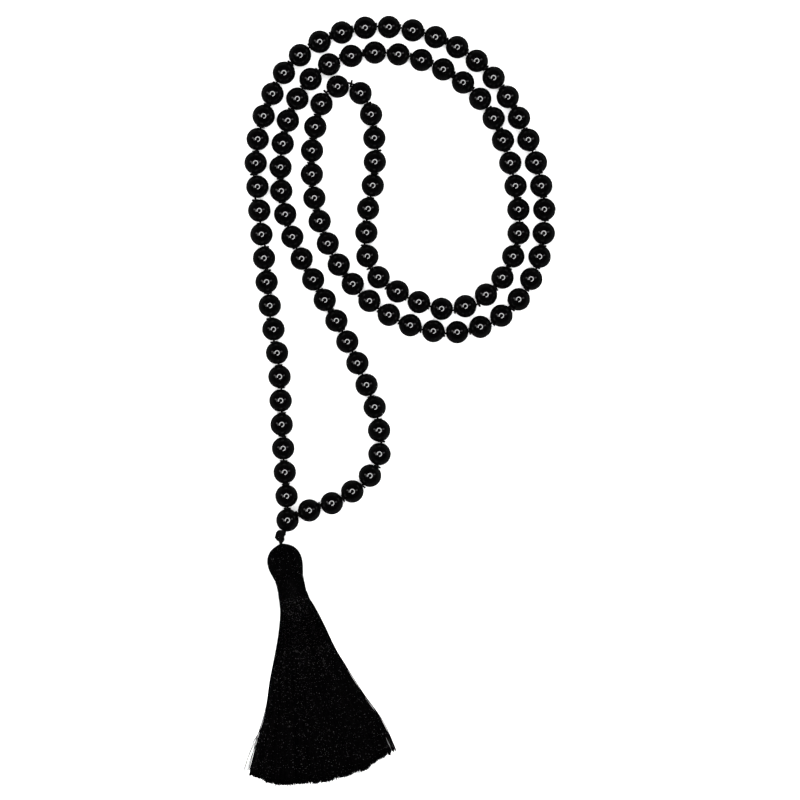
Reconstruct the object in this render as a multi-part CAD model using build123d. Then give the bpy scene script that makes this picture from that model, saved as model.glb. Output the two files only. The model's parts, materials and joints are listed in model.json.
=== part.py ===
"""Mala prayer beads: 108 round stone beads on one cord, a guru bead that closes the loop, a closing knot
and a thread tassel. The string lies flat in one open double loop.

Everything is drawn with the guru bead's centre at X = Y = 0 and the surface that the beads lie on at
Z = 0. At the end all parts are moved together, so that the middle of the whole footprint is the origin.
"""

import math
import os
from bisect import bisect
from itertools import accumulate

from build123d import *

# Beads
BEAD_RADIUS = 4.05
BORE_RADIUS = 0.6
BORE_BEVEL = 0.2
# Beads that share a straight axis, and so a node, in order from the guru bead.
GROUPS = [2] * 25 + [1] * 3 + [2] * 20 + [3] * 5
# Beads sit closer together at the string's start than at its end, by this share of the pitch.
SLACK_SHIFT = 0.012

# String
CORD_RADIUS = 0.35
# From the guru bead's centre to the middle of the bare cord beside it.
GURU_REACH = BEAD_RADIUS + 0.3
# The cord's two ends stop this far from the guru bead's centre.
CORD_END = 1.6
# The cord's line has these points, in X and Y from the guru bead's centre.
ROUTE = [
    (0, 0), (8, 5), (18, 6), (33, 17), (34, 33), (25, 57), (15, 76), (3, 96), (-3, 115), (-2, 140),
    (8, 160), (25, 168), (51, 165), (70, 151), (78, 135), (84, 107), (80, 89), (64, 72), (37, 81),
    (26, 93), (30, 118), (33, 134), (29, 145), (28, 153), (21, 157), (14, 154), (11, 146), (9, 137),
    (8, 124), (11, 106), (18, 90), (31, 75), (54, 65), (76, 70), (89, 87), (93, 109), (88, 132),
    (78, 154), (63, 169), (40, 177), (17, 175), (-2, 162), (-10, 141), (-13, 119), (-7, 96),
    (-7, 74), (-2, 51), (-2, 31), (-1, 16), (0, 8), (0, 0),
]

# Closing knot
KNOT_ANGLE = -104
KNOT_RISE = 24
KNOT_GAP = 0.6
KNOT_LENGTH = 4.2
KNOT_LOBE_RADIUS = 1.75
KNOT_LOBE_STEP = 0.1
KNOT_WAIST_RADIUS = 1.2
KNOT_END_RADIUS = 0.45
KNOT_HINGE_REACH = BEAD_RADIUS + 0.15
TASSEL_BORE_RADIUS = 0.8
COUNTERSINK = 0.25
TAIL_RADIUS = 0.5

# Tassel
HEAD_ANGLE = -78
HEAD_HEIGHT = 6.3
HEAD_RADIUS = 6.1
HEAD_LENGTH = 11.8
HEAD_TOP_RADIUS = 0.9
NECK_RADIUS = 4.6
BINDING_RADIUS = 5.05
BINDING_LENGTH = 7.0
BINDING_FIT = 0.02
LIFT_GAP = 0.5
HEAD_GAP = 0.4
LOOP_RADIUS = 0.45
LOOP_DEPTH = 7.0
LOOP_FIT = 0.05
SKIRT_ANGLE = -80.5
SKIRT_KNUCKLE_RADIUS = 4.7
SKIRT_KNUCKLE_HEIGHT = 5.3
SKIRT_CLEARANCE = 0.35
SKIRT_RADIUS = 66.0
SKIRT_FLAT = 0.15
# The skirt's width and thickness at three distances from its hinge.
SKIRT_SECTIONS = [(0.0, 12.6, 9.2), (26.0, 30.5, 6.6), (64.0, 59.0, 3.8)]

CURVE_STEPS = 40
LAYOUT_ROUNDS = 12
CHORD_ROUNDS = 8


class Curve:
    """A smooth line through the route: a parabola round each inner point, from the middle of one run to
    the middle of the next, and points on it by distance along it."""

    def __init__(self, route):
        corners = [Vector(x, y, BEAD_RADIUS) for x, y in route]
        self.points = [corners[0]]
        for corner, after in zip(corners[1:], corners[2:]):
            start = self.points[-1]
            end = after if after is corners[-1] else (corner + after) / 2
            for i in range(1, CURVE_STEPS + 1):
                t = i / CURVE_STEPS
                self.points.append(start * (1 - t) ** 2 + corner * (2 * t * (1 - t)) + end * t**2)
        steps = [(b - a).length for a, b in zip(self.points, self.points[1:])]
        self.reach = [0, *accumulate(steps)]
        self.length = self.reach[-1]

    def at(self, distance):
        i = min(max(bisect(self.reach, distance), 1), len(self.points) - 1)
        share = (distance - self.reach[i - 1]) / (self.reach[i] - self.reach[i - 1])
        return self.points[i - 1] + (self.points[i] - self.points[i - 1]) * share


class Group:
    """Beads on one straight axis: their centres, the axis and the distance from each end of the axis to
    the mouth of the bead beside it."""

    def __init__(self, number, start, end, first, last, pitch):
        along = (end - start).normalized()
        count = GROUPS[number]
        self.centres = [start + along * pitch * (first + i) for i in range(count)]
        self.axis = along
        self.angle = math.degrees(math.atan2(along.Y, along.X))
        self.bare = [share * pitch - bore_half_length() for share in (first, last)]
        self.first_bead = 1 + sum(GROUPS[:number])
        last_bead = self.first_bead + count - 1
        self.name = f"bead_{self.first_bead:03}"
        if count > 1:
            self.name = f"beads_{self.first_bead:03}_{last_bead:03}"


def bore_half_length():
    return math.sqrt(BEAD_RADIUS**2 - (BORE_RADIUS + BORE_BEVEL) ** 2)


def turn(before, corner, after):
    """The angle in degrees that a line turns by at a corner."""
    return (corner - before).get_angle(after - corner)


def lay_out(curve):
    """The corners of the cord between groups of beads, and the groups.

    Corners first lie on the curve. They are then pushed out by an eighth of their own height, so that
    the straight axes between them follow the curve evenly on both sides.
    """
    count = len(GROUPS)
    share = [0.5] * (count + 1)
    shrink = [1.0] * count
    middles = [(sum(GROUPS[:i]) + GROUPS[i] / 2) / sum(GROUPS) for i in range(count)]
    pitch = 2 * BEAD_RADIUS
    for _ in range(LAYOUT_ROUNDS):
        pitches = [pitch * (1 + SLACK_SHIFT * (middle - 0.5)) for middle in middles]
        reach = GURU_REACH
        on_curve = [curve.at(reach)]
        for i, beads in enumerate(GROUPS):
            chord = pitches[i] * (beads - 1 + share[i] + share[i + 1]) * shrink[i]
            reach += chord
            for _ in range(CHORD_ROUNDS):
                reach += chord - (curve.at(reach) - on_curve[-1]).length
            on_curve.append(curve.at(reach))
        pitch *= (curve.length - 2 * GURU_REACH) / (reach - GURU_REACH)
        corners = list(on_curve)
        for i in range(1, count):
            middle = (on_curve[i - 1] + on_curve[i + 1]) / 2
            corners[i] = on_curve[i] + (on_curve[i] - middle) / 8
        for i in range(1, count):
            half_turn = math.radians(turn(*corners[i - 1 : i + 2]) / 2)
            share[i] = 0.5 / math.cos(half_turn)
        for i in range(count):
            straight = (corners[i + 1] - corners[i]).length
            shrink[i] = (on_curve[i + 1] - on_curve[i]).length / straight
    groups = [
        Group(i, corners[i], corners[i + 1], share[i], share[i + 1], pitches[i]) for i in range(count)
    ]
    return corners, groups


def make_bead():
    """One bead, bored along X, with a bevel at each mouth of the bore."""
    mouth = bore_half_length()
    wide = BORE_RADIUS + BORE_BEVEL
    outside = ThreePointArc((-mouth, wide), (0, BEAD_RADIUS), (mouth, wide))
    inside = Polyline(
        (mouth, wide),
        (mouth - BORE_BEVEL, BORE_RADIUS),
        (BORE_BEVEL - mouth, BORE_RADIUS),
        (-mouth, wide),
    )
    return revolve(make_face([outside, inside]), Axis.X)


def make_group(group, bead):
    beads = [Location(centre, (0, 0, group.angle)) * bead for centre in group.centres]
    return beads[0] if len(beads) == 1 else Compound(children=beads)


def cord_radii(corners, groups):
    """The bend radius at each corner: as large as the two runs allow, or as the beads' bores leave."""
    slack = (BORE_RADIUS - CORD_RADIUS) / 2
    radii = []
    for i, (before, corner, after) in enumerate(zip(corners, corners[1:], corners[2:])):
        angle = math.radians(turn(before, corner, after))
        shorter = min((corner - before).length, (after - corner).length)
        bare = 0.0
        if 0 < i < len(corners) - 3:
            bare = min(groups[i - 1].bare[1], groups[i].bare[0])
        tangent = min(0.45 * shorter, max(bare, slack / math.tan(angle / 4)))
        radii.append(tangent / math.tan(angle / 2))
    return radii


def make_string(corners, groups):
    """The cord through all beads, and its two ends together in the guru bead's lower hole."""
    centre = Vector(0, 0, BEAD_RADIUS)
    start = centre + (corners[0] - centre).normalized() * CORD_END
    end = centre + (corners[-1] - centre).normalized() * CORD_END
    path = [start, *corners, end]
    radii = cord_radii(path, groups)
    line = FilletPolyline(*path, radius=radii)
    cord = sweep(Plane(line @ 0, z_dir=line % 0) * Circle(CORD_RADIUS), path=line)
    tail_line = Line(centre + flat(KNOT_ANGLE) * CORD_END, centre + flat(KNOT_ANGLE) * BEAD_RADIUS)
    tail = sweep(Plane(tail_line @ 0, z_dir=tail_line % 0) * Circle(TAIL_RADIUS), path=tail_line)
    expected = math.pi * CORD_RADIUS**2 * line.length
    print(f"cord {line.length:.1f} mm, volume {cord.volume:.1f} of {expected:.1f} mm3")
    print("cord bend radii", [round(radius, 1) for radius in radii])
    return Compound(children=[cord, tail])


def flat(angle):
    """The level direction at an angle from +X."""
    return Vector(math.cos(math.radians(angle)), math.sin(math.radians(angle)), 0)


def level(angle, rise=0):
    """A direction at an angle from +X, tilted up by rise degrees."""
    return flat(angle) * math.cos(math.radians(rise)) + Vector(0, 0, math.sin(math.radians(rise)))


def along(origin, direction):
    """A plane whose X axis points along a direction, for bodies that are revolved about X."""
    return Plane(origin, x_dir=direction, z_dir=Vector(0, 0, 1).cross(direction))


def make_guru_bead(corners):
    """A bead with three holes that meet in its middle, one for each end of the string and one for the
    tassel."""
    centre = Vector(0, 0, BEAD_RADIUS)
    bead = Sphere(BEAD_RADIUS)
    holes = [((corner - centre), BORE_RADIUS) for corner in (corners[0], corners[-1])]
    holes.append((flat(KNOT_ANGLE), TASSEL_BORE_RADIUS))
    for direction, radius in holes:
        angle = math.degrees(math.atan2(direction.Y, direction.X))
        mouth = math.sqrt(BEAD_RADIUS**2 - (radius + COUNTERSINK) ** 2)
        outline = Polyline(
            (0, 0),
            (0, radius),
            (mouth - COUNTERSINK, radius),
            (mouth + COUNTERSINK, radius + 2 * COUNTERSINK),
            (mouth + COUNTERSINK, 0),
            close=True,
        )
        bead -= Rot(0, 0, angle) * revolve(make_face(outline), Axis.X)
    return Location(centre) * bead


def knot_points():
    """The knot's hinge, its start, its end, and the hinge of the tassel beyond it."""
    out = flat(KNOT_ANGLE)
    tilted = level(KNOT_ANGLE, KNOT_RISE)
    hinge = Vector(0, 0, BEAD_RADIUS) + out * KNOT_HINGE_REACH
    start = hinge + tilted * (BEAD_RADIUS + KNOT_GAP - KNOT_HINGE_REACH)
    end = start + tilted * KNOT_LENGTH
    return hinge, start, end, end + tilted * LIFT_GAP


def make_knot():
    """A wrapped knot with two round lobes."""
    start = knot_points()[1]
    quarter = KNOT_LENGTH / 4
    lower_lobe = KNOT_LOBE_RADIUS - KNOT_LOBE_STEP
    waist = (2 * quarter, KNOT_WAIST_RADIUS)
    outline = [
        Line((0, 0), (0, KNOT_END_RADIUS)),
        ThreePointArc((0, KNOT_END_RADIUS), (quarter, KNOT_LOBE_RADIUS), waist),
        ThreePointArc(waist, (3 * quarter, lower_lobe), (KNOT_LENGTH, KNOT_END_RADIUS)),
        Line((KNOT_LENGTH, KNOT_END_RADIUS), (KNOT_LENGTH, 0)),
        Line((KNOT_LENGTH, 0), (0, 0)),
    ]
    return along(start, level(KNOT_ANGLE, KNOT_RISE)) * revolve(make_face(outline), Axis.X)


def head_top():
    """Where the tassel's head begins."""
    hinge = knot_points()[3]
    top = hinge + flat(HEAD_ANGLE) * HEAD_GAP
    return Vector(top.X, top.Y, HEAD_HEIGHT)


def make_loop():
    """The short cord that holds the tassel, let into the head."""
    hinge = knot_points()[3]
    reach = HEAD_GAP + LOOP_DEPTH
    cord = Cylinder(LOOP_RADIUS, reach, rotation=(0, 90, 0), align=(Align.CENTER, Align.CENTER, Align.MIN))
    start = Vector(hinge.X, hinge.Y, HEAD_HEIGHT)
    return along(start, flat(HEAD_ANGLE)) * cord


def make_head():
    """The round head and the neck under it, with a blind hole for the loop."""
    neck_end = HEAD_LENGTH + BINDING_LENGTH
    hole = LOOP_RADIUS + LOOP_FIT
    outline = [
        Line((0, hole), (0, HEAD_TOP_RADIUS)),
        ThreePointArc((0, HEAD_TOP_RADIUS), (HEAD_LENGTH / 2, HEAD_RADIUS), (HEAD_LENGTH, BINDING_RADIUS)),
        Polyline(
            (HEAD_LENGTH, BINDING_RADIUS),
            (HEAD_LENGTH, NECK_RADIUS),
            (neck_end, NECK_RADIUS),
            (neck_end, 0),
            (LOOP_DEPTH + LOOP_FIT, 0),
            (LOOP_DEPTH + LOOP_FIT, hole),
            (0, hole),
        ),
    ]
    return along(head_top(), flat(HEAD_ANGLE)) * revolve(make_face(outline), Axis.X)


def make_binding():
    """The thread bound round the neck."""
    outline = Rectangle(
        BINDING_LENGTH - 2 * BINDING_FIT,
        BINDING_RADIUS - NECK_RADIUS - BINDING_FIT,
        align=(Align.MIN, Align.MIN),
    )
    ring = revolve(Pos(HEAD_LENGTH + BINDING_FIT, NECK_RADIUS + BINDING_FIT) * outline, Axis.X)
    return along(head_top(), flat(HEAD_ANGLE)) * ring


def skirt_hinge():
    """The point under the neck that the skirt bends about."""
    reach = HEAD_LENGTH + BINDING_LENGTH + SKIRT_CLEARANCE + SKIRT_KNUCKLE_RADIUS
    point = head_top() + flat(HEAD_ANGLE) * reach
    return Vector(point.X, point.Y, SKIRT_KNUCKLE_HEIGHT)


def make_skirt():
    """The loose threads: round at the neck, thin and wide at the hem, flat underneath, cut on an arc."""
    hinge = skirt_hinge()
    out = flat(SKIRT_ANGLE)
    sections = []
    for distance, width, thickness in SKIRT_SECTIONS:
        middle = hinge + out * distance
        origin = Vector(middle.X, middle.Y, thickness / 2 - SKIRT_FLAT)
        plane = Plane(origin, x_dir=Vector(0, 0, 1).cross(out), z_dir=out)
        sections.append(plane * Ellipse(width / 2, thickness / 2))
    neck_end = head_top() + flat(HEAD_ANGLE) * (HEAD_LENGTH + BINDING_LENGTH)
    height = 4 * SKIRT_KNUCKLE_RADIUS
    above = Cylinder(SKIRT_RADIUS, height, align=(Align.CENTER, Align.CENTER, Align.MIN))
    threads = loft(sections) & Location((neck_end.X, neck_end.Y, 0)) * above
    return threads + Plane(hinge, z_dir=out) * Sphere(SKIRT_KNUCKLE_RADIUS)


curve = Curve(ROUTE)
corners, groups = lay_out(curve)
bead = make_bead()

parts = {group.name: make_group(group, bead) for group in groups}
parts["stringing_cord"] = make_string(corners, groups)
parts["guru_bead"] = make_guru_bead(corners)
parts["closing_knot"] = make_knot()
parts["tassel_loop"] = make_loop()
parts["tassel_head"] = make_head()
parts["neck_binding"] = make_binding()
parts["tassel_skirt"] = make_skirt()

boxes = [part.bounding_box() for part in parts.values()]
middle_x = (min(box.min.X for box in boxes) + max(box.max.X for box in boxes)) / 2
middle_y = (min(box.min.Y for box in boxes) + max(box.max.Y for box in boxes)) / 2
to_origin = Vector(-middle_x, -middle_y, 0)

os.makedirs("parts", exist_ok=True)
for name, part in parts.items():
    export_step(Location(to_origin) * part, f"parts/{name}.step")
print(f"guru bead's centre {to_origin.X:.2f}, {to_origin.Y:.2f}; string curve {curve.length:.1f} mm")
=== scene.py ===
import json
import math

import bpy
import numpy as np
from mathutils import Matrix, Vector


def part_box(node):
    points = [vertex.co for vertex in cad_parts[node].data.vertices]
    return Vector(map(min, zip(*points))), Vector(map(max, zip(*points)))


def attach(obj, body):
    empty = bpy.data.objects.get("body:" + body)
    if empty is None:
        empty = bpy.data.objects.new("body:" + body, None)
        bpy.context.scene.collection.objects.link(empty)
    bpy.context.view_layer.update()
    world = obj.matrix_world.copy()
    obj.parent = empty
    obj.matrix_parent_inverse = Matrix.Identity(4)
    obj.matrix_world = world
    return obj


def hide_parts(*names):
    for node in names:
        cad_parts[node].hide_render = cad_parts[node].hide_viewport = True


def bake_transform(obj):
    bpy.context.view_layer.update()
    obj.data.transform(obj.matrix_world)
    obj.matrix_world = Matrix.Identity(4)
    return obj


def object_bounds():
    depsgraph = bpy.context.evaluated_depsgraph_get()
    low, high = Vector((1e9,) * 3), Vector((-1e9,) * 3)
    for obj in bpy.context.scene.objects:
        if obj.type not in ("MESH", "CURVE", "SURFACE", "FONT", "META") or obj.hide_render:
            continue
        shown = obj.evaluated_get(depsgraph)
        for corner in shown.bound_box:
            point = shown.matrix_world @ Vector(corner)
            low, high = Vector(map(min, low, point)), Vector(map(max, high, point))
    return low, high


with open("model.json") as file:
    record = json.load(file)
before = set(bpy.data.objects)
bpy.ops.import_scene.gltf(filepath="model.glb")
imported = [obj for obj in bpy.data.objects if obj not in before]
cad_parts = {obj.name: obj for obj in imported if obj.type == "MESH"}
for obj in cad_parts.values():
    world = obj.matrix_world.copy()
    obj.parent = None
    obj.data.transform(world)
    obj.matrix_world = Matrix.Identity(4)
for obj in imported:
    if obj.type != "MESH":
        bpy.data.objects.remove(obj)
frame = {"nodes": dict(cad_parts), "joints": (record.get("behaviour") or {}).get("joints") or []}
cad_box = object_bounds()

MM = 0.001
UP = Vector((0, 0, 1))
THREAD_SEED = 108
random = np.random.default_rng(THREAD_SEED)

joints = {joint["name"]: joint for joint in frame["joints"]}
knot_start = Vector(joints["hang_1_knot_swing"]["pos_m"])
knot_end = Vector(joints["hang_2_tassel_lift"]["pos_m"])
skirt_hinge = Vector(joints["hang_3_skirt_sway"]["pos_m"])
guru_low, guru_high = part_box("guru_bead")
guru_centre = (guru_low + guru_high) / 2
bead_radius = (guru_high.z - guru_low.z) / 2
head_low, head_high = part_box("tassel_head")

# The tassel's head lies along this line, from its top to the cut of the neck, and has its left side across.
head_line = UP.cross(Vector(joints["hang_2_tassel_lift"]["axis"])).normalized()
head_across = head_line.cross(UP).normalized()
HEAD_GAP = 0.4 * MM
HEAD_LENGTH = 11.8 * MM
BINDING_LENGTH = 7.0 * MM
head_top = Vector((knot_end.x, knot_end.y, (head_low.z + head_high.z) / 2)) + head_line * HEAD_GAP
neck_end = head_top + head_line * (HEAD_LENGTH + BINDING_LENGTH)
THREAD_RADIUS = 0.13 * MM


# Camera: straight above, with the whole object in the frame.
LENGTH_IN_VIEW = 0.958
CAMERA_HEIGHT = 1.2
CAMERA_BELOW_MIDDLE = 0.4 * MM
CAMERA_REACH = 20
middle = (cad_box[0] + cad_box[1]) / 2
view_width = (cad_box[1].y - cad_box[0].y) / LENGTH_IN_VIEW
camera = bpy.data.objects.new("camera", bpy.data.cameras.new("camera"))
camera.data.lens = camera.data.sensor_width * (CAMERA_HEIGHT - bead_radius) / view_width
camera.location = (middle.x, middle.y - CAMERA_BELOW_MIDDLE, CAMERA_HEIGHT)
camera.data.clip_end = CAMERA_REACH
bpy.context.scene.collection.objects.link(camera)
bpy.context.scene.camera = camera


# Stringing cord: the route in metres from the guru bead's centre, round the open double loop and back.
CORD_DIAMETER = 0.0007
CORD_STEPS = 24
ROUTE = [
    (0, 0), (0.008, 0.005), (0.018, 0.006), (0.033, 0.017), (0.034, 0.033), (0.025, 0.057),
    (0.015, 0.076), (0.003, 0.096), (-0.003, 0.115), (-0.002, 0.140), (0.008, 0.160),
    (0.025, 0.168), (0.051, 0.165), (0.070, 0.151), (0.078, 0.135), (0.084, 0.107),
    (0.080, 0.089), (0.064, 0.072), (0.037, 0.081), (0.026, 0.093), (0.030, 0.118),
    (0.033, 0.134), (0.029, 0.145), (0.028, 0.153), (0.021, 0.157), (0.014, 0.154),
    (0.011, 0.146), (0.009, 0.137), (0.008, 0.124), (0.011, 0.106), (0.018, 0.090),
    (0.031, 0.075), (0.054, 0.065), (0.076, 0.070), (0.089, 0.087), (0.093, 0.109),
    (0.088, 0.132), (0.078, 0.154), (0.063, 0.169), (0.040, 0.177), (0.017, 0.175),
    (-0.002, 0.162), (-0.010, 0.141), (-0.013, 0.119), (-0.007, 0.096), (-0.007, 0.074),
    (-0.002, 0.051), (-0.002, 0.031), (-0.001, 0.016), (0, 0.008), (0, 0),
]


def make_cord():
    """The cord's spline. Its bevel is one metre, times the radius that each point carries."""
    curve = bpy.data.curves.new("stringing_cord_line", "CURVE")
    curve.dimensions = "3D"
    curve.bevel_depth = 1
    curve.bevel_resolution = 3
    spline = curve.splines.new("NURBS")
    spline.points.add(len(ROUTE) - 1)
    for point, (x, y) in zip(spline.points, ROUTE):
        point.co = (guru_centre.x + x, guru_centre.y + y, guru_centre.z, 1)
        point.radius = CORD_DIAMETER / 2
    spline.order_u = 3
    spline.use_endpoint_u = True
    spline.resolution_u = CORD_STEPS
    cord = bpy.data.objects.new("bead_stringing_cord", curve)
    bpy.context.scene.collection.objects.link(cord)
    return cord


cord = make_cord()
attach(cord, "string")
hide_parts("stringing_cord")


class Nodes:
    """A new node material: its nodes are made by add() and joined by link()."""

    def __init__(self, name):
        self.material = bpy.data.materials.new(name)
        self.material.use_nodes = True
        self.tree = self.material.node_tree
        self.surface = self.tree.nodes["Principled BSDF"]

    def add(self, kind, inputs=None, **settings):
        node = self.tree.nodes.new(kind)
        for key, value in settings.items():
            setattr(node, key, value)
        for key, value in (inputs or {}).items():
            node.inputs[key].default_value = value
        return node

    def link(self, output, target):
        self.tree.links.new(output, target)

    def ramp(self, factor, stops):
        """A colour ramp of (place, grey or colour) stops."""
        node = self.add("ShaderNodeValToRGB")
        elements = node.color_ramp.elements
        while len(elements) < len(stops):
            elements.new(0.5)
        for element, (place, colour) in zip(elements, stops):
            element.position = place
            element.color = (*colour, 1) if isinstance(colour, tuple) else (colour, colour, colour, 1)
        self.link(factor, node.inputs["Fac"])
        return node.outputs["Color"]

    def scaled(self, value, factor):
        node = self.add("ShaderNodeMath", {1: factor}, operation="MULTIPLY")
        self.link(value, node.inputs[0])
        return node.outputs[0]

    def bump(self, height, strength, distance):
        node = self.add("ShaderNodeBump", {"Strength": strength, "Distance": distance})
        self.link(height, node.inputs["Height"])
        self.link(node.outputs["Normal"], self.surface.inputs["Normal"])

    def noise(self, vector, scale, detail=4.0, roughness=0.5):
        node = self.add("ShaderNodeTexNoise", {"Scale": scale, "Detail": detail, "Roughness": roughness})
        self.link(vector, node.inputs["Vector"])
        return node.outputs["Fac"]


STONE_BLACKS = ((0.0002, 0.0002, 0.0002), (0.0009, 0.0008, 0.0009))
STONE_ROUGHNESS = (0.045, 0.11)
STONE_IOR = 1.54


def stone_material():
    """Polished black onyx: a deep black with faint cloudy bands, and a few fine hairlines in the polish."""
    made = Nodes("black_onyx_polished")
    place = made.add("ShaderNodeTexCoord").outputs["Object"]
    clouds = made.noise(place, 260, 6, 0.6)
    colour = made.ramp(clouds, [(0.35, STONE_BLACKS[0]), (0.75, STONE_BLACKS[1])])
    made.link(colour, made.surface.inputs["Base Color"])
    hairlines = made.noise(place, 2600, 3, 0.7)
    polish = made.ramp(hairlines, [(0.45, STONE_ROUGHNESS[0]), (0.8, STONE_ROUGHNESS[1])])
    made.link(polish, made.surface.inputs["Roughness"])
    waves = made.noise(place, 420, 2, 0.4)
    made.bump(waves, 0.06, 0.00002)
    made.surface.inputs["IOR"].default_value = STONE_IOR
    made.surface.inputs["Specular IOR Level"].default_value = 0.5
    return made.material


THREAD_BLACKS = ((0.0001, 0.0001, 0.0002), (0.0007, 0.0006, 0.0007))
# Glints on the threads: how many more there are along a thread of this length in millimetres, how far apart
# the grain of one thread is from the next one's, and the grain where a glint starts and is full.
GLINT_LENGTH = 70
GLINT_SPREAD = [(0.0, 0.09), (0.22, 0.075), (0.42, 0.015), (0.65, 0.0)]
GLINT_SHIFT = 900
GLINT_EDGE = [(0.72, 0.0), (0.755, 1.0)]


def glints(made, thread_map, shade):
    """Short bright fibres here and there on a thread, more of them in its first few centimetres."""
    along = made.add("ShaderNodeSeparateXYZ")
    made.link(thread_map.outputs["UV"], along.inputs[0])
    place = made.add("ShaderNodeCombineXYZ")
    made.link(made.scaled(shade.outputs["Fac"], GLINT_SHIFT), place.inputs["X"])
    made.link(along.outputs["Y"], place.inputs["Y"])
    grain = made.noise(place.outputs[0], 1.7, 0)
    spread = made.ramp(made.scaled(along.outputs["Y"], 1 / GLINT_LENGTH), GLINT_SPREAD)
    total = made.add("ShaderNodeMath", operation="ADD")
    made.link(grain, total.inputs[0])
    made.link(spread, total.inputs[1])
    return made.ramp(total.outputs[0], GLINT_EDGE)


def thread_material(name, roughness, specular, twist):
    """Dyed silky thread: two plies twisted together, each thread a little lighter or darker."""
    made = Nodes(name)
    thread_map = made.add("ShaderNodeUVMap", uv_map="thread")
    shade = made.add("ShaderNodeAttribute", attribute_name="shade")
    colour = made.ramp(shade.outputs["Fac"], [(0.0, THREAD_BLACKS[0]), (1.0, THREAD_BLACKS[1])])
    made.link(colour, made.surface.inputs["Base Color"])
    rough = made.ramp(shade.outputs["Fac"], [(0.0, roughness + 0.12), (1.0, roughness - 0.08)])
    made.link(rough, made.surface.inputs["Roughness"])
    plies = made.add("ShaderNodeTexWave", {"Scale": twist, "Distortion": 0.4}, bands_direction="DIAGONAL")
    made.link(thread_map.outputs["UV"], plies.inputs["Vector"])
    made.bump(plies.outputs["Fac"], 0.5, 0.00003)
    made.link(glints(made, thread_map, shade), made.surface.inputs["Coat Weight"])
    made.surface.inputs["Coat Roughness"].default_value = 0.28
    made.surface.inputs["Specular IOR Level"].default_value = specular
    return made.material


def cord_material():
    """Black polyester cord, with the slanting lines of its twist."""
    made = Nodes("black_cord")
    place = made.add("ShaderNodeTexCoord").outputs["Object"]
    fibres = made.noise(place, 5200, 2, 0.6)
    colour = made.ramp(fibres, [(0.3, 0.0002), (0.8, 0.0014)])
    made.link(colour, made.surface.inputs["Base Color"])
    twist = made.add("ShaderNodeTexWave", {"Scale": 620, "Distortion": 2.0}, bands_direction="DIAGONAL")
    made.link(place, twist.inputs["Vector"])
    made.bump(twist.outputs["Fac"], 0.6, 0.00005)
    made.surface.inputs["Roughness"].default_value = 0.6
    made.surface.inputs["Specular IOR Level"].default_value = 0.05
    return made.material


stone = stone_material()
skirt_thread = thread_material("tassel_silk_thread", 0.6, 0.01, 1.1)
binding_thread = thread_material("binding_silk_thread", 0.65, 0.015, 1.4)
cord_finish = cord_material()
cord.data.materials.append(cord_finish)


# Beads: the CAD spheres and their bores, with a polished stone finish.
bead_nodes = [name for name in frame["nodes"] if name.startswith("bead")]
bead_nodes.sort(key=lambda name: int(name.split("_")[1]))
for name in [*bead_nodes, "guru_bead"]:
    node = frame["nodes"][name]
    node.data.materials.clear()
    node.data.materials.append(stone)


def bead_centres():
    """Every bead's centre, in order from the guru bead and back to it. A node's beads are on its axis."""
    centres = [guru_centre]
    for name in bead_nodes:
        numbers = [int(number) for number in name.split("_")[1:]]
        count = numbers[-1] - numbers[0] + 1
        axis = Vector(joints["turn_" + name]["axis"])
        low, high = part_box(name)
        middle_bead = (low + high) / 2
        length = Vector((high.x - low.x - 2 * bead_radius, high.y - low.y - 2 * bead_radius)).length
        if axis.dot(middle_bead - centres[-1]) < 0:
            axis = -axis
        for i in range(count):
            share = i / (count - 1) - 0.5 if count > 1 else 0
            centres.append(middle_bead + axis * length * share)
    return [*centres, guru_centre]


def new_mesh(name, vertices, quads, material, thread_uv=None, shade=None):
    """A smooth-shaded piece of quads, with the distance along and round each thread, and its shade."""
    mesh = bpy.data.meshes.new(name)
    mesh.vertices.add(len(vertices))
    mesh.vertices.foreach_set("co", np.asarray(vertices, np.float32).ravel())
    mesh.loops.add(4 * len(quads))
    mesh.loops.foreach_set("vertex_index", np.asarray(quads, np.int32).ravel())
    mesh.polygons.add(len(quads))
    mesh.polygons.foreach_set("loop_start", np.arange(0, 4 * len(quads), 4, dtype=np.int32))
    mesh.polygons.foreach_set("use_smooth", np.ones(len(quads), bool))
    if thread_uv is not None:
        layer = mesh.uv_layers.new(name="thread")
        layer.uv.foreach_set("vector", np.asarray(thread_uv, np.float32).ravel())
    if shade is not None:
        values = mesh.attributes.new("shade", "FLOAT", "POINT")
        values.data.foreach_set("value", np.asarray(shade, np.float32))
    mesh.update(calc_edges=True)
    mesh.validate()
    mesh.materials.append(material)
    made = bpy.data.objects.new(name, mesh)
    bpy.context.scene.collection.objects.link(made)
    return made


def unit(vectors):
    """The vectors' directions."""
    return vectors / np.maximum(np.linalg.norm(vectors, axis=-1, keepdims=True), 1e-12)


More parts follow.
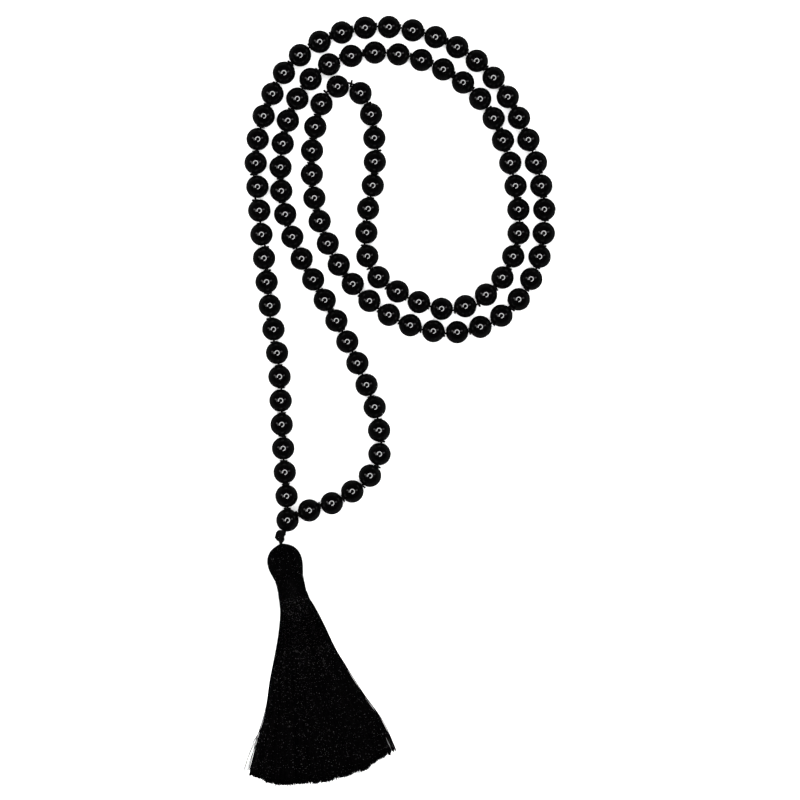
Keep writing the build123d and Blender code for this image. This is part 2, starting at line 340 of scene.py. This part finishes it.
def tubes(name, paths, radius, material, sides=6, outward=None, shade=None, start=0):
    """Round threads along paths, an array of (threads, points, 3), each closed at its ends, with an even
    number of sides. The distance along each thread counts from start, in millimetres."""
    paths = np.asarray(paths, float)
    count, points = paths.shape[:2]
    radius = np.broadcast_to(np.asarray(radius, float), (count, points))
    tangent = unit(np.gradient(paths, axis=1))
    reference = np.broadcast_to(np.asarray(UP) if outward is None else outward, paths.shape)
    side = unit(np.cross(tangent, reference))
    over = np.cross(side, tangent)
    turn = 2 * math.pi * np.arange(sides) / sides
    ring = side[:, :, None] * np.cos(turn)[:, None] + over[:, :, None] * np.sin(turn)[:, None]
    vertices = paths[:, :, None] + ring * radius[:, :, None, None]

    number = np.arange(count * points * sides).reshape(count, points, sides)
    after = np.roll(number, -1, axis=2)
    walls = np.stack([number[:, :-1], after[:, :-1], after[:, 1:], number[:, 1:]], axis=-1)
    fans = [(0, i, i + 1, i + 2) for i in range(1, sides - 1, 2)]
    front = number[:, 0][:, [fan[::-1] for fan in fans]]
    back = number[:, -1][:, fans]
    quads = np.concatenate([walls.reshape(-1, 4), front.reshape(-1, 4), back.reshape(-1, 4)])

    steps = np.linalg.norm(np.diff(paths, axis=1), axis=-1) / MM
    reach = start + np.concatenate([np.zeros((count, 1)), np.cumsum(steps, axis=1)], axis=1)
    reach = np.broadcast_to(reach[:, :, None], number.shape)
    around = np.broadcast_to(np.arange(sides) / sides, number.shape)
    near, far = around[:, :-1], around[:, :-1] + 1 / sides
    low, high = reach[:, :-1], reach[:, 1:]
    corners = ((near, low), (far, low), (far, high), (near, high))
    wall_uv = np.stack([np.stack(corner, axis=-1) for corner in corners], axis=-2)
    cap_uv = np.zeros((len(front.reshape(-1, 4)) + len(back.reshape(-1, 4)), 4, 2))
    thread_uv = np.concatenate([wall_uv.reshape(-1, 4, 2), cap_uv])
    if shade is None:
        shade = random.random(count)
    shades = np.repeat(shade, points * sides)
    return new_mesh(name, vertices.reshape(-1, 3), quads, material, thread_uv, shades)


# Cord knots: a small knot in the cord after each bead, about as thick as the gap lets it be.
CORD_KNOT_RADIUS = 1.4 * MM
CORD_KNOT_THREAD = 0.3 * MM
CORD_KNOT_TURNS = 2.4
CORD_KNOT_LENGTH = 0.16 * MM
CORD_KNOT_STEPS = 52
# How the knots differ: their lean, and their size. Each winds out from its ends over a share of its cord.
CORD_KNOT_LEAN = 0.07
CORD_KNOT_SIZES = (0.94, 1.08)
CORD_KNOT_END = 0.35
CORD_KNOT_END_SHARE = 0.12


def cord_line():
    """Points along the cord's own curve."""
    depth = cord.data.bevel_depth
    cord.data.bevel_depth = 0
    bpy.context.view_layer.update()
    line = bpy.data.meshes.new_from_object(cord.evaluated_get(bpy.context.evaluated_depsgraph_get()))
    cord.data.bevel_depth = depth
    points = np.array([vertex.co for vertex in line.vertices])
    bpy.data.meshes.remove(line)
    return points


def make_cord_knots():
    """A few turns of the cord round itself, in every gap between two beads."""
    centres = bead_centres()
    on_cord = cord_line()
    share = np.linspace(0, 1, CORD_KNOT_STEPS)
    swell = np.clip(np.minimum(share, 1 - share) / CORD_KNOT_END_SHARE, 0, 1)
    paths, spokes = [], []
    for start, end in zip(centres, centres[1:]):
        line = (end - start).normalized()
        gap = np.asarray((start + end) / 2)
        middle = on_cord[np.linalg.norm(on_cord - gap, axis=1).argmin()]
        side = line.cross(UP).normalized()
        lean = random.normal(0, CORD_KNOT_LEAN)
        size = (CORD_KNOT_RADIUS - CORD_KNOT_THREAD) * random.uniform(*CORD_KNOT_SIZES)
        angle = 2 * math.pi * (CORD_KNOT_TURNS * share + random.random())
        out = size * (CORD_KNOT_END + (1 - CORD_KNOT_END) * swell) * (1 + 0.05 * np.sin(3 * angle))
        spoke = np.cos(angle)[:, None] * np.asarray(side) + np.sin(angle)[:, None] * np.asarray(UP)
        along = (share - 0.5) * CORD_KNOT_LENGTH + lean * out * np.cos(angle)
        paths.append(middle + out[:, None] * spoke + along[:, None] * np.asarray(line))
        spokes.append(spoke)
    made = tubes("cord_knots", np.array(paths), CORD_KNOT_THREAD, cord_finish, 8, np.array(spokes))
    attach(made, "string")


make_cord_knots()


# Tassel head: the outer radius of the head and neck at some distances from the head's top, in
# millimetres.
HEAD_PROFILE = [
    (-0.7, 0.7), (-0.2, 2.0), (0.8, 3.85), (2.2, 5.15), (4.0, 6.0), (6.2, 6.25), (8.4, 6.0),
    (10.2, 5.55), (12.0, 5.2), (15.0, 5.05), (18.8, 5.15),
]
# The neck bends this far to the right of the head's line, at some distances from the head's top.
NECK_BEND = [(-0.7, 0.0), (7.0, 0.0), (12.0, 0.25), (15.0, 0.35), (18.8, 0.2)]


def smooth_line(points, distance, column=1):
    """The smooth line through a column of the points, by distance, in metres."""
    places = np.array([point[0] for point in points]) * MM
    values = np.array([point[column] for point in points]) * MM
    slopes = np.gradient(values, places)
    i = np.clip(np.searchsorted(places, distance) - 1, 0, len(places) - 2)
    step = places[i + 1] - places[i]
    t = np.clip((distance - places[i]) / step, 0, 1)
    start, end = values[i], values[i + 1]
    return (
        (2 * t**3 - 3 * t**2 + 1) * start
        + (t**3 - 2 * t**2 + t) * step * slopes[i]
        + (3 * t**2 - 2 * t**3) * end
        + (t**3 - t**2) * step * slopes[i + 1]
    )


def round_head(along, out, angle):
    """Points round the head and the bent neck, and the directions outward there: from the distance from the
    head's top, the distance out from the middle, and the angle from head_across."""
    upward = np.cross(np.asarray(head_line), np.asarray(head_across))
    spoke = np.cos(angle)[..., None] * np.asarray(head_across) + np.sin(angle)[..., None] * upward
    bend = smooth_line(NECK_BEND, along)[..., None] * np.asarray(head_across)
    centre = np.asarray(head_top) + along[..., None] * np.asarray(head_line) - bend
    return centre + out[..., None] * spoke, spoke


def head_radius(distance):
    """The tassel's outer radius at a distance from the head's top, both in metres."""
    return smooth_line(HEAD_PROFILE, distance)


HEAD_THREADS = 150
HEAD_STEPS = 34
# The core ends a little inside the threads, and is this much thinner than the head.
CORE_ENDS = (-0.6, 18.7)
CORE_DEPTH = 0.33 * MM
CORE_STEPS = 40
CORE_SIDES = 64
# The head's threads count as this far from their shiny first part, in millimetres.
HEAD_THREAD_START = 30
BINDING_TURNS = 27
BINDING_THREAD_RADIUS = 0.15 * MM
BINDING_STEPS = 48
BINDING_TUCK = 0.25 * MM


def make_head():
    """The threads that are folded over the loop and come down round the head into the neck."""
    share = np.linspace(0, 1, HEAD_STEPS) ** 1.3
    top, end = HEAD_PROFILE[0][0], HEAD_PROFILE[-1][0]
    along = (top + (end - top) * share) * MM
    angle = 2 * math.pi * (np.arange(HEAD_THREADS) + random.normal(0, 0.25, HEAD_THREADS)) / HEAD_THREADS
    sway = random.normal(0, 0.03, (HEAD_THREADS, 1)) * np.sin(math.pi * share)
    drift = random.normal(0, 0.02, (HEAD_THREADS, 1)) * np.sin(2 * math.pi * share)
    lift = random.uniform(-0.09, 0.03, (HEAD_THREADS, 1)) * MM
    outer = head_radius(along) - THREAD_RADIUS
    under_binding = np.clip((along - (HEAD_LENGTH - 0.5 * MM)) / (1.0 * MM), 0, 1) * 0.3 * MM
    out = np.maximum(outer + lift - under_binding, 0.3 * MM)
    paths, spokes = round_head(np.broadcast_to(along, out.shape), out, angle[:, None] + sway + drift)
    crowd = 2 * math.pi * out / HEAD_THREADS * 0.75
    radius = np.minimum(THREAD_RADIUS, crowd)
    return tubes("tassel_head_threads", paths, radius, skirt_thread, 6, spokes, start=HEAD_THREAD_START)


def make_head_core():
    """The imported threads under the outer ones, as one closed form."""
    steps, sides = CORE_STEPS, CORE_SIDES
    along = np.linspace(*CORE_ENDS, steps) * MM
    out = head_radius(along) - CORE_DEPTH
    out[0] = out[-1] = 0.02 * MM
    out[-2] = 4.2 * MM
    angle = 2 * math.pi * np.arange(sides) / sides
    points, _ = round_head(
        np.broadcast_to(along[:, None], (steps, sides)),
        np.broadcast_to(out[:, None], (steps, sides)),
        np.broadcast_to(angle, (steps, sides)),
    )
    number = np.arange(steps * sides).reshape(steps, sides)
    after = np.roll(number, -1, axis=1)
    quads = np.stack([number[:-1], number[1:], after[1:], after[:-1]], axis=-1).reshape(-1, 4)
    uv = np.zeros((len(quads), 4, 2))
    points, shade = points.reshape(-1, 3), np.zeros(steps * sides)
    return new_mesh("tassel_head_core", points, quads, skirt_thread, uv, shade)


def make_binding():
    """One thread wound round the neck, turn by turn, with its two ends tucked in."""
    steps = BINDING_TURNS * BINDING_STEPS
    turns = np.linspace(0, BINDING_TURNS, steps)
    wander = np.interp(turns, np.arange(BINDING_TURNS + 1), random.normal(0, 0.05, BINDING_TURNS + 1))
    slack = np.interp(turns, np.arange(BINDING_TURNS + 1), random.normal(0, 0.03, BINDING_TURNS + 1))
    pitch = (BINDING_LENGTH - 2 * BINDING_THREAD_RADIUS) / BINDING_TURNS
    along = HEAD_LENGTH + BINDING_THREAD_RADIUS + (turns + wander) * pitch
    out = head_radius(along) - BINDING_THREAD_RADIUS + slack * MM
    out -= BINDING_TUCK * (np.exp(-4 * turns) + np.exp(-4 * (BINDING_TURNS - turns)))
    path, spokes = round_head(along, out, 2 * math.pi * turns)
    path, spokes = path[None], spokes[None]
    return tubes("neck_binding_thread", path, BINDING_THREAD_RADIUS, binding_thread, 8, spokes, [0.5])


head = make_head()
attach(head, "tassel")
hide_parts("tassel_head")

head_core = make_head_core()
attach(head_core, "tassel")

binding = make_binding()
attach(binding, "tassel")
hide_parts("neck_binding")


# The skirt leans this much from the head's line, and its hem is an arc round the neck's end.
SKIRT_LEAN = math.radians(-2.5)
SKIRT_REACH = 66.4 * MM
skirt_line = Vector((
    head_line.x * math.cos(SKIRT_LEAN) - head_line.y * math.sin(SKIRT_LEAN),
    head_line.x * math.sin(SKIRT_LEAN) + head_line.y * math.cos(SKIRT_LEAN),
    0,
))
skirt_across = UP.cross(skirt_line)
# The skirt's edges: the distance along it, and the half width on the left and the right.
SKIRT_EDGES = [
    (0, 4.8, 5.3), (4, 5.1, 7.0), (11, 6.9, 9.1), (19.4, 9.8, 11.3), (28, 12.9, 14.1),
    (40, 16.3, 18.6), (53, 21.7, 24.0), (66, 26.4, 26.8),
]
# The skirt's thickness: the distance along it, and the height of its middle.
SKIRT_HEIGHTS = [(0, 9.4), (8, 8.8), (30, 6.4), (66, 3.6)]
# The hem: how much longer the skirt is than its reach, from its left edge, -1, to its right edge, 1.
HEM = [
    (-1, -1.9), (-0.85, -0.4), (-0.6, 0.7), (-0.3, 0.0), (0.3, 0.3), (0.5, -0.5), (0.57, 1.0),
    (0.64, -0.8), (0.85, -0.9), (1, -0.5),
]
SKIRT_CLUMPS = 27
SKIRT_THREADS = 2200
SKIRT_STEPS = 24
# The threads start this far inside the neck, and lie flat this far from it.
SKIRT_INSIDE = 1.5 * MM
SKIRT_SETTLED = 20 * MM
# The hem's clumps: how much shorter their outer threads are, how far the threads lean in to the middle one,
# and the share of the length where that starts.
CLUMP_NOTCH = 2.0
CLUMP_GATHER = 0.45
GATHER_START = 0.91
# How far a thread drifts sideways down to the hem, and sways on its way, as shares of the skirt's half width.
THREAD_DRIFT = 0.035
THREAD_SWAY = 0.012
# A thread keeps within this share of the half width. The skirt's edge has this share of its middle's height.
SKIRT_LIMIT = 1.02
EDGE_THICKNESS = 0.15

clump_middles = np.linspace(-1, 1, SKIRT_CLUMPS) + random.normal(0, 0.016, SKIRT_CLUMPS)


def on_skirt(along, sideways, height):
    """Points at distances along the skirt from the neck's end, to its right, and up from the floor."""
    return (
        np.array([neck_end.x, neck_end.y, 0])
        + along[..., None] * np.asarray(skirt_line)
        + sideways[..., None] * np.asarray(skirt_across)
        + height[..., None] * np.asarray(UP)
    )


def skirt_threads(count, inner, outer):
    """Threads from inside the neck to the hem. Each keeps its place across the bundle, and its layer between
    the inner and the outer share of the bundle's height, with a little sway."""
    spread = unit(random.normal(size=(count, 2))) * np.sqrt(random.random((count, 1)))
    place = spread[:, :1]
    edge = np.sqrt(1 - place**2)
    layer = (inner + (outer - inner) * random.random((count, 1))) * edge
    share = np.linspace(0, 1, SKIRT_STEPS)
    clump = clump_middles[np.abs(place - clump_middles).argmin(axis=1)][:, None]
    apart = (place - clump) * SKIRT_CLUMPS / 2
    reach = SKIRT_REACH + random.normal(-0.1, 0.16, (count, 1)) * MM
    reach = reach + (np.interp(place, *zip(*HEM)) + 0.55 - CLUMP_NOTCH * np.abs(apart)) * MM
    reach = reach + 0.3 * MM * np.sin(40 * clump)
    distance = -SKIRT_INSIDE + (reach + SKIRT_INSIDE) * share
    clear = np.clip(distance, 0, None)
    drift = random.normal(0, THREAD_DRIFT, (count, 1)) * share**1.5
    sway = random.normal(0, THREAD_SWAY, (count, 1))
    sway = sway * np.sin(math.pi * share * random.uniform(1, 3, (count, 1)))
    close = np.clip((share - GATHER_START) / (1 - GATHER_START), 0, 1) ** 2
    gather = -CLUMP_GATHER * (1 - place**4) * (place - clump) * close
    across = np.clip(place + drift + sway + gather, -SKIRT_LIMIT, SKIRT_LIMIT)
    left, right = (smooth_line(SKIRT_EDGES, clear, column) for column in (1, 2))
    width = np.where(across < 0, left, right)
    sideways = across * width
    end = across[:, -1:] * width[:, -1:]
    along = distance - end**2 / (2 * reach) * (clear / reach) ** 2
    settle = np.clip(distance / SKIRT_SETTLED, 0, 1)
    settle = settle**2 * (3 - 2 * settle)
    round_height = head_top.z + layer * SKIRT_EDGES[0][1] * MM
    height = smooth_line(SKIRT_HEIGHTS, clear)
    lens = np.sqrt(np.clip(1 - across**2, 0, 1))
    height = height * (EDGE_THICKNESS + (1 - EDGE_THICKNESS) * lens)
    flat_height = THREAD_RADIUS + (layer + edge) / 2 * height
    z = (1 - settle) * round_height + settle * flat_height
    z = np.maximum(z, THREAD_RADIUS)
    return on_skirt(along, sideways, z)


def make_skirt(name, count, inner, outer):
    """Part of the skirt's threads, which bend down from the neck to lie flat."""
    made = tubes(name, skirt_threads(count, inner, outer), THREAD_RADIUS, skirt_thread, 4)
    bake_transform(made)
    return made


skirt = make_skirt("skirt_threads_upper", SKIRT_THREADS // 2, 0, 1)
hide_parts("tassel_skirt")
make_skirt("skirt_threads_lower", SKIRT_THREADS // 2, -1, 0)

# Four threads that strayed from the skirt's left edge.
# Each one's start and end along the skirt, its place there across the skirt, and how far it bows out.
STRAY_THREADS = [
    (50, -0.98, 65, -1.06, 0.045), (48, -0.985, 64, -1.09, 0.06), (52, -0.98, 66, -1.03, 0.025),
    (46, -0.98, 64.5, -1.075, 0.035),
]
STRAY_RADIUS = 0.09 * MM


def make_strays():
    """The stray threads, each in a bow beside the edge, down to the floor."""
    share = np.linspace(0, 1, SKIRT_STEPS)
    paths = []
    for start, place, end, end_place, bow in STRAY_THREADS:
        distance = (start + (end - start) * share) * MM
        across = place + (end_place - place) * share**1.6 - bow * np.sin(math.pi * share)
        sideways = across * smooth_line(SKIRT_EDGES, distance, 1)
        along = distance - sideways**2 / (2 * SKIRT_REACH)
        z = (0.9 * (1 - share) + 0.15) * MM
        paths.append(on_skirt(along, sideways, z))
    made = tubes("skirt_stray_threads", np.array(paths), STRAY_RADIUS, skirt_thread, 6)
    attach(made, "skirt")


make_strays()


# Closing knot: a doubled cord wound in two lobes that bulge to the left.
KNOT_CORD_RADIUS = 0.36 * MM
KNOT_TURNS = 2.6
KNOT_STEPS = 110
# Each lobe's start and end on the knot's line, its radius, its tilt, its offset to the left, and its taper.
KNOT_LOBES = [(0.4, 1.85, 1.85, 12, 1.15, 0.0), (2.3, 3.8, 1.95, 0, 1.25, 0.4)]


def make_knot():
    """The windings of both lobes, as one cord, over a short core along the knot's line."""
    line = (knot_end - knot_start).normalized()
    across = line.cross(UP).normalized()
    upward = across.cross(line)
    reach = (knot_end - knot_start).length
    pieces = []
    for begin, finish, size, tilt, offset, taper in KNOT_LOBES:
        share = np.linspace(0, 1, KNOT_STEPS)
        angle = 2 * math.pi * KNOT_TURNS * share
        bulge = 0.8 + 0.2 * np.sin(math.pi * share) - taper * share**2
        out = (size * MM - KNOT_CORD_RADIUS) * bulge
        along = (begin + (finish - begin) * share) * MM + np.tan(math.radians(tilt)) * out * np.cos(angle)
        left = offset * MM * (1 - 1.5 * taper * share**2) + out * np.cos(angle)
        points = (
            np.asarray(knot_start)
            + along[:, None] * np.asarray(line)
            + left[:, None] * np.asarray(across)
            + (out * 0.95 * np.sin(angle))[:, None] * np.asarray(upward)
        )
        spokes = np.cos(angle)[:, None] * np.asarray(across) + np.sin(angle)[:, None] * np.asarray(upward)
        pieces.append((points, spokes))
    points = np.concatenate([points for points, _ in pieces])
    spokes = np.concatenate([spokes for _, spokes in pieces])
    made = tubes("knot_windings", points[None], KNOT_CORD_RADIUS, cord_finish, 10, spokes[None], [0.4])
    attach(made, "knot")
    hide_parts("closing_knot")

    share = np.linspace(0.06, 1, 20)
    core = np.asarray(knot_start) + (share * reach)[:, None] * np.asarray(line)
    core = core + (0.8 * MM * np.sin(math.pi * share))[:, None] * np.asarray(across)
    thick = (0.45 + 0.35 * np.sin(math.pi * share)) * MM
    made = tubes("knot_core", core[None], thick[None], cord_finish, 10, None, [0.2])
    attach(made, "knot")


STRING_END_SPREAD = 0.33 * MM
LOOP_SPREAD = 0.22 * MM
LOOP_STRAND_RADIUS = 0.24 * MM


def make_string_ends():
    """The string's two ends, side by side, from inside the guru bead to the knot."""
    line = (knot_start - guru_centre).normalized()
    across = line.cross(UP).normalized()
    share = np.linspace(0, 1, 14)
    paths = []
    for side in (-1, 1):
        path = np.asarray(guru_centre) + (share * 4.75 + 1.0)[:, None] * MM * np.asarray(line)
        turn = side * math.pi / 2 + 1.6 * share
        path = path + STRING_END_SPREAD * np.sin(turn)[:, None] * np.asarray(across)
        path = path + STRING_END_SPREAD * np.cos(turn)[:, None] * np.asarray(UP)
        paths.append(path)
    made = tubes("string_ends", np.array(paths), CORD_DIAMETER / 2, cord_finish, 8, None, [0.3, 0.6])
    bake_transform(made)


def make_loop():
    """The tassel's loop: two strands twisted together, from the knot into the head."""
    start = knot_end - (knot_end - knot_start).normalized() * 0.5 * MM
    end = head_top + head_line * 4 * MM
    share = np.linspace(0, 1, 26)
    middle_line = np.asarray(start) + share[:, None] * np.asarray(end - start)
    paths = []
    for phase in (0, math.pi):
        turn = phase + 5 * math.pi * share
        path = middle_line + LOOP_SPREAD * np.sin(turn)[:, None] * np.asarray(head_across)
        paths.append(path + LOOP_SPREAD * np.cos(turn)[:, None] * np.asarray(UP))
    made = tubes("tassel_loop_strands", np.array(paths), LOOP_STRAND_RADIUS, cord_finish, 8, None, [0.4, 0.7])
    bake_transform(made)
    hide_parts("tassel_loop")


make_knot()
make_string_ends()
make_loop()


# Stage: a pale floor, a ring lamp round the camera, a broad soft fill, and a pale horizon.
FLOOR_RADIUS = 4.0
FLOOR_GREYS = (0.80, 0.83)
# The floor's own light, from near its middle to near its rim, so that it runs into the pale horizon.
FLOOR_GLOW = [(0.1, 0.15), (0.7, 0.9)]
RING_ANGLES = (18, 26)
RING_SPAN = (-97, 203)
RING_LIGHT = 14.0
# Small soft panels beside the ring: angles from the camera's line, directions, and light.
PANELS = {
    "panel_left_near": ((28, 41), (165, 197), 2.6),
    "panel_left_far": ((41, 60), (158, 174), 1.2),
    "panel_right": ((30, 58), (8, 25), 0.9),
}
FILL_HEIGHT = 2.6
FILL_SIZE = 4.0
FILL_POWER = 230
HORIZON_GREY = 0.07
CEILING_GREY = 0.006


def floor_material():
    """Plain pale paint with a faint grain, and a glow that grows towards the floor's rim."""
    made = Nodes("pale_floor")
    place = made.add("ShaderNodeTexCoord").outputs["Object"]
    grain = made.noise(place, 40, 3)
    colour = made.ramp(grain, [(0.3, FLOOR_GREYS[0]), (0.7, FLOOR_GREYS[1])])
    made.link(colour, made.surface.inputs["Base Color"])
    made.surface.inputs["Roughness"].default_value = 0.9
    made.surface.inputs["Specular IOR Level"].default_value = 0.1
    distance = made.add("ShaderNodeVectorMath", operation="LENGTH")
    made.link(place, distance.inputs[0])
    glow = made.ramp(made.scaled(distance.outputs["Value"], 1 / FLOOR_RADIUS), FLOOR_GLOW)
    made.link(glow, made.surface.inputs["Emission Strength"])
    made.surface.inputs["Emission Color"].default_value = (1, 1, 1, 1)
    return made.material


def glow_material(name, strength):
    """An even white light."""
    made = Nodes(name)
    made.surface.inputs["Base Color"].default_value = (0, 0, 0, 1)
    made.surface.inputs["Emission Color"].default_value = (1, 1, 1, 1)
    made.surface.inputs["Emission Strength"].default_value = strength
    return made.material


def sector(name, centre, inner, outer, start, end, material):
    """A flat piece of a ring that faces down."""
    steps = max(8, int(abs(end - start) / 4))
    angle = np.radians(np.linspace(start, end, steps + 1))
    rim = np.stack([np.cos(angle), np.sin(angle), 0 * angle], axis=-1)
    points = np.concatenate([rim * inner, rim * outer]) + np.asarray(centre)
    i = np.arange(steps)
    quads = np.stack([i, i + 1, i + steps + 2, i + steps + 1], axis=-1)
    made = new_mesh(name, points, quads, material)
    return made


lamp_centre = Vector((camera.location.x, camera.location.y, CAMERA_HEIGHT))


def lamp(name, angles, span, light):
    """A glowing piece of a ring round the camera, between two angles from its line."""
    inner, outer = (CAMERA_HEIGHT * math.tan(math.radians(angle)) for angle in angles)
    sector(name, lamp_centre, inner, outer, *span, glow_material(name + "_glow", light))


lamp("ring_lamp", RING_ANGLES, RING_SPAN, RING_LIGHT)
for name, (angles, span, light) in PANELS.items():
    lamp(name, angles, span, light)

# The polished beads mirror neither the floor nor the fill, so their rims stay black.
floor = sector("floor", (0, 0, 0), 0.0001, FLOOR_RADIUS, 0, 360, floor_material())
floor.visible_glossy = False

fill = bpy.data.objects.new("fill", bpy.data.lights.new("fill", "AREA"))
fill.data.shape = "DISK"
fill.data.size = FILL_SIZE
fill.data.energy = FILL_POWER
fill.location = (0, 0, FILL_HEIGHT)
fill.visible_glossy = False
bpy.context.scene.collection.objects.link(fill)


def make_world():
    """A pale room to look at, whose reflection is a dim horizon under a dark ceiling."""
    world = bpy.data.worlds.new("studio")
    world.use_nodes = True
    bpy.context.scene.world = world
    tree = world.node_tree
    place = tree.nodes.new("ShaderNodeTexCoord")
    parts = tree.nodes.new("ShaderNodeSeparateXYZ")
    ramp = tree.nodes.new("ShaderNodeValToRGB")
    elements = ramp.color_ramp.elements
    elements[0].position, elements[0].color = 0.05, (HORIZON_GREY, HORIZON_GREY, HORIZON_GREY, 1)
    elements[1].position, elements[1].color = 0.35, (CEILING_GREY, CEILING_GREY, CEILING_GREY, 1)
    ray = tree.nodes.new("ShaderNodeLightPath")
    pick = tree.nodes.new("ShaderNodeMix")
    pick.data_type = "RGBA"
    pick.inputs["B"].default_value = (1, 1, 1, 1)
    tree.links.new(place.outputs["Generated"], parts.inputs[0])
    tree.links.new(parts.outputs["Z"], ramp.inputs["Fac"])
    tree.links.new(ray.outputs["Is Camera Ray"], pick.inputs["Factor"])
    tree.links.new(ramp.outputs["Color"], pick.inputs["A"])
    tree.links.new(pick.outputs["Result"], tree.nodes["Background"].inputs["Color"])


make_world()
bpy.context.scene.view_settings.view_transform = "Standard"
